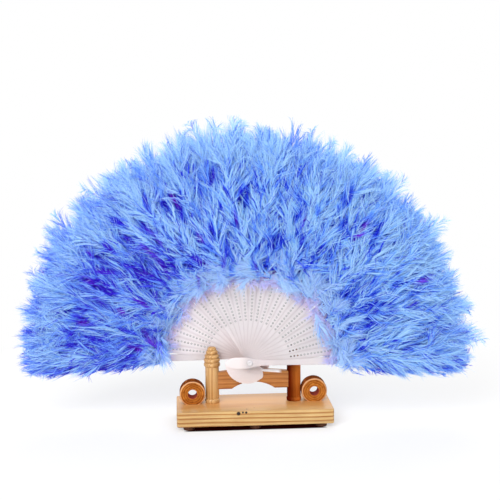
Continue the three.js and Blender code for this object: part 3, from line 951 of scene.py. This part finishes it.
def grow_barbs(rng, layer, roots, aims, lengths, bends, tone):
    """Points and tones for each barb of the feathers, at the steps along it."""
    fine = (len(roots), layer.wisps, layer.per_wisp)
    wisps = fine[:2]
    at = np.linspace(0.04, 1, layer.wisps)[None, :] + rng.normal(0, 0.02, wisps)
    way = np.where(np.arange(layer.wisps) % 2, 1.0, -1.0)[None, :] * np.ones(wisps)
    turn = rng.normal(0, barb_turn, wisps)
    open_angle = np.radians(barb_angle - barb_close * at) * rng.uniform(0.6, 1.3, wisps)
    size = layer.barb * mm * (0.6 + 0.5 * np.sin(np.pi * np.clip(at * 0.85 + 0.1, 0, 1)))
    size = size * rng.uniform(0.65, 1.25, wisps)
    spread = np.arange(layer.per_wisp) - (layer.per_wisp - 1) / 2
    at = np.clip(at[..., None] + spread * 0.016 + rng.normal(0, 0.006, fine), 0.0, 1.0)
    open_angle = open_angle[..., None] + spread * 0.05 + rng.normal(0, 0.06, fine)
    turn = turn[..., None] + spread * 0.05 + rng.normal(0, 0.12, fine)
    size = size[..., None] * rng.uniform(0.7, 1.15, fine)
    way = way[..., None] * np.ones(fine)
    flat = at.reshape(len(roots), -1)
    base = quill_points(roots, aims, lengths, bends, flat).reshape(*fine, 3)
    ahead = unit(aims[:, None, :] + 2 * flat[..., None] * bends[:, None, :]).reshape(*fine, 3)
    over = unit(np.cross(ahead, np.array([0.0, 0.0, 1.0])))
    front = np.cross(over, ahead)
    lead = unit(
        ahead * np.cos(open_angle)[..., None]
        + over * (way * np.sin(open_angle) * np.cos(turn))[..., None]
        + front * (np.sin(open_angle) * np.sin(turn))[..., None]
    )
    drift = rng.normal(0, barb_drift, (*wisps, 1, 3))
    curl = ahead * rng.uniform(0.2, 0.55, (*wisps, 1, 1)) + drift + rng.normal(0, 0.07, (*fine, 3))
    wave = rng.normal(0, 0.04, (*wisps, 1, 3)) + rng.normal(0, 0.02, (*fine, 3))
    paths = np.stack(
        [base + size[..., None] * (s * lead + s * s * curl + sin(2.6 * pi * s) * wave) for s in barb_steps],
        axis=3,
    )
    gathered = paths.mean(2, keepdims=True)
    pull = (gathering * barb_steps**0.8)[:, None] * rng.uniform(0.2, 1.2, (*wisps, 1, 1, 1))
    points = (paths + (gathered - paths) * pull).reshape(-1, len(barb_steps), 3)
    # painted light and shade: paler the higher a barb stands, darker towards each quill's root
    proud = (np.clip(np.abs(points[:, :, 2]) / proud_height, 0, 1) - 0.5) * proud_tone
    shade = tone[:, None, None] + 0.24 * (at - 0.45) + rng.normal(0, wisp_tone, (*wisps, 1))
    shade = shade + 0.24 - rng.exponential(strand_tone, fine)
    return points, shade.reshape(-1, 1) + barb_tones + proud


def ribbons(points, tones, reds, widths, facing):
    """Vertices, corners, starts, tones and reds of tapering ribbons along the barbs."""
    count, last = len(points), len(barb_steps) - 1
    ways = unit(np.gradient(points, axis=1))
    sides = unit(np.cross(ways, facing[:, None, :]))
    half = widths[:, None] * barb_shape[None, :] / 2
    left = points[:, :last] - sides[:, :last] * half[..., None]
    right = points[:, :last] + sides[:, :last] * half[..., None]
    pairs = np.stack([left, right], 2).reshape(count, 2 * last, 3)
    verts = np.concatenate([pairs, points[:, last:]], 1).reshape(-1, 3)
    shades, reds = (
        np.concatenate([np.repeat(values[:, :last], 2, axis=1), values[:, last:]], 1).ravel()
        for values in (tones, reds)
    )
    quads = np.arange(last - 1)[:, None] * 2 + np.array([0, 1, 3, 2])
    tip = 2 * last + np.array([-2, -1, 0])
    corners = np.concatenate([quads.ravel(), tip])
    starts = np.arange(last) * 4
    corners = (np.arange(count)[:, None] * (2 * last + 1) + corners).ravel()
    starts = (np.arange(count)[:, None] * (4 * last - 1) + starts).ravel()
    return verts, corners, starts, shades, reds


def down_mesh(name, parts, place):
    verts, corners, starts, shades, reds = parts
    verts = verts @ np.array(place.to_3x3()).T + np.array(place.translation)
    mesh = bpy.data.meshes.new(name)
    mesh.vertices.add(len(verts))
    mesh.vertices.foreach_set("co", verts.ravel())
    mesh.loops.add(len(corners))
    mesh.loops.foreach_set("vertex_index", corners)
    mesh.polygons.add(len(starts))
    mesh.polygons.foreach_set("loop_start", starts)
    mesh.update(calc_edges=True)
    mesh.validate()
    for title, values in (("tone", shades), ("red", reds)):
        mesh.attributes.new(title, "FLOAT", "POINT").data.foreach_set("value", values)
    mesh.shade_smooth()
    return mesh


def trim(points, index, far, lie):
    """Holds back the barbs that reach past the plume's outline or hang under the open fan."""
    out = np.hypot(points[..., 0], points[..., 1])
    off_line = np.abs(np.arctan2(points[..., 1], points[..., 0])) / (step / 2)
    past = np.clip(out - far + tip_drop * np.clip(off_line, 0, 1.5) ** 2, 0, None)
    points[..., :2] *= (1 - held_back * past / out)[..., None]
    around = index * step
    level = points[..., 0] * sin(around) + points[..., 1] * cos(around)
    ahead = points[..., 0] * cos(around) - points[..., 1] * sin(around)
    lifted = held_back * np.clip(-level - np.where(ahead < 0, left_hang, right_hang), 0, None)
    points[..., 0] += lifted * sin(around)
    points[..., 1] += lifted * cos(around)
    out = np.hypot(points[..., 0], points[..., 1])
    points[..., :2] *= np.minimum(1, down_limit / out)[..., None]
    points[..., 2] = np.clip(points[..., 2], lie - down_depth, lie + down_depth)


def plume(rng, index, gaps, lie):
    """All the barbs of one stick's down, as ribbons in the stick's own frame."""
    edge = {0: -1, stick_count - 1: 1}.get(index, 0)
    behind = index / (stick_count - 1)
    by_front = max(0, 1 - index / front_plumes)
    dip = deeper_dye * max(0, behind - deeper_from) + front_dye * by_front
    violet = rear_violet * np.clip((behind - 0.5) * 4, 0, 1) + front_violet * by_front
    far = down_reach - shorter_by_guard * exp(-index / 2) + rng.normal(0, uneven_reach) * mm
    far += longer_behind * exp(-(((index - longest) / longest_spread) ** 2))
    points, tones, reds, widths, facing = [], [], [], [], []
    for side in (-1, 1):
        for layer in down_layers.values():
            tufts = layer.front if side > 0 else layer.behind
            roots, aims, tone = lay_feathers(rng, tufts, layer, side, edge)
            count = len(roots)
            lengths = layer.long * mm * rng.uniform(0.75, 1.2, count)
            bends = rng.normal(0, 0.18, (count, 3))
            bends[:, 2] = -side * rng.uniform(0.0, 0.22, count)
            ends = roots + aims * lengths[:, None]
            off_line = np.abs(np.arctan2(ends[:, 1], ends[:, 0])) / (step / 2)
            room = far - tip_room - tip_drop * np.clip(off_line, 0, 1.6) ** 2 - roots[:, 0]
            lengths = np.where(lengths > room, room * rng.uniform(0.86, 1, count), lengths)
            grown, shaded = grow_barbs(rng, layer, roots, aims, lengths, bends, tone - dip)
            trim(grown, index, far, lie)
            out = np.hypot(grown[..., 0], grown[..., 1])
            low = -out * np.sin(np.arctan2(grown[..., 1], grown[..., 0]) + index * step) / hanging
            rimward = np.clip(np.maximum((out - pale_from) / (pale_to - pale_from), low), 0, 1)
            # painted shade in the pile's gaps
            gap_shading, reddened = gap_shade(grown, index, gaps)
            gap_shading = gap_shading * (rng.random((len(grown), 1)) > crossing_share)
            inward = pale_ring_tone * np.clip((pale_ring - out) / (pale_ring - full_ring), 0, 1)
            points.append(grown)
            tones.append(np.clip(shaded + rim_tone * rimward + inward - gap_shading, *layer.tones))
            reds.append(np.clip((violet + reddened) * np.clip(1.1 - tones[-1], 0, 1), 0, 0.8))
            thinned = 1 - 0.5 * rimward[:, 3]
            widths.append(layer.width * mm * rng.uniform(0.6, 1.2, len(grown)) * thinned)
            facing.append(np.array([0.0, 0.0, side]) + rng.normal(0, 0.3, (len(grown), 3)))
    return ribbons(*(np.concatenate(part) for part in (points, tones, reds, widths, facing)))


def mesh_number(tree, name):
    """A number kept on the points of a mesh, as an output."""
    made = tree.nodes.new("ShaderNodeAttribute")
    made.attribute_name = name
    return made.outputs["Fac"]


def feather_blue():
    """Dyed down: the tone, dye and painted light and shade together, runs from violet blue in the depth to
    pale blue, and lavender at the end.
    """
    made, tree, output = new_material("feather_blue")
    dye = graded(
        tree, mesh_number(tree, "tone"),
        (0.0, (0.016, 0.022, 0.67)), (0.16, (0.034, 0.072, 0.8)), (0.4, (0.1, 0.26, 0.93)),
        (0.65, (0.23, 0.51, 0.98)), (0.88, (0.42, 0.73, 0.97)), (1.0, (0.68, 0.66, 0.95)),
    )
    dye = mixed_colour(tree, "MIX", mesh_number(tree, "red"), dye, (0.42, 0.03, 0.72))
    surface = add_node(
        tree, "ShaderNodeBsdfPrincipled", Base_Color=dye, Roughness=0.6, Specular_IOR_Level=0
    )
    through = add_node(tree, "ShaderNodeBsdfTranslucent", Color=dye)
    show_mixed(tree, output, down_through, surface, through)
    return made


dyed = feather_blue()
painted_gap_shades = lay_shaded_gaps(np.random.default_rng(gap_seed))
for index in range(stick_count):
    rng = np.random.default_rng(plume_seed + index)
    place = stick_place(index)
    name = f"down_{index:02d}"
    barbs = plume(rng, index, painted_gap_shades, place.translation.y)
    down = put_in_scene(down_mesh(name, barbs, place), name)
    dress(down, dyed, f"leaf_{index:02d}", "blue_feather", f"plume_{index:02d}")
    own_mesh(down)
